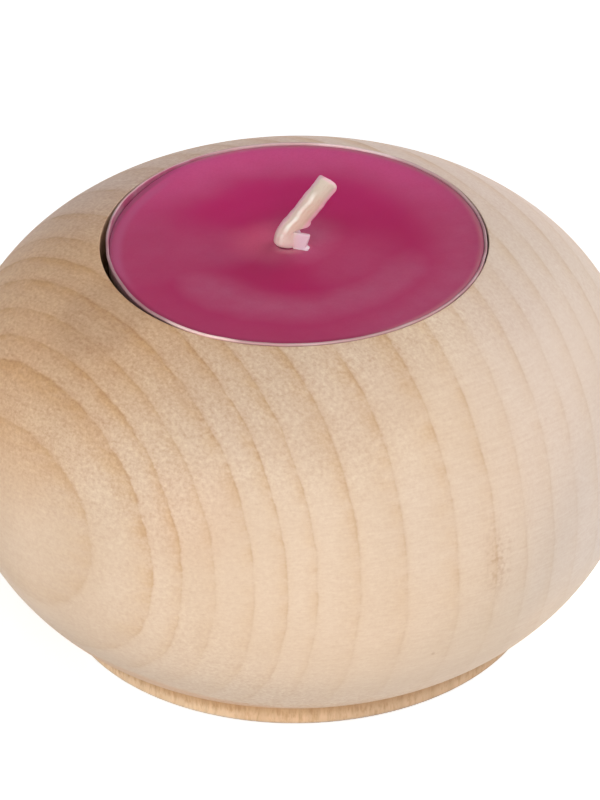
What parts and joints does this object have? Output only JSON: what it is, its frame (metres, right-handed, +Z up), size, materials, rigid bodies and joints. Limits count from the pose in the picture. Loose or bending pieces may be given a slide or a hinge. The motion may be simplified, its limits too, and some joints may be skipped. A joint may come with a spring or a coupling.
{
  "type": "tealight holder",
  "caption": "Round turned wooden candle holder on a low foot, with a bored socket for a loose tealight: a thin metal cup with a dished wax fill and a bent wick.",
  "frame": {"origin": "centre of the face that the foot stands on", "axes": "+Z up along the turning axis, +X the way that the wick leans, -Y towards the viewer of the picture"},
  "size_m": [0.072, 0.072, 0.0502],
  "materials": {
    "maple": "sanded, unvarnished",
    "aluminium": "bright pressed sheet",
    "magenta_wax": "satin wax",
    "primed_cotton": "braided cotton soaked in wax",
    "tinplate": "tinned sheet"
  },
  "bodies": {
    "holder": {"wood_body": "maple"},
    "cup": {"candle_cup": "aluminium"},
    "candle": {"wax_fill": "magenta_wax", "wick": "primed_cotton", "wick_sustainer": "tinplate"}
  },
  "joints": [
    {"name": "tealight_lift", "type": "slide", "parent": "holder", "child": "cup", "axis": [0, 0, 1], "range_m": [0, 0.03]},
    {"name": "candle_lift", "type": "slide", "parent": "cup", "child": "candle", "axis": [0, 0, 1], "range_m": [0, 0.025]}
  ]
}
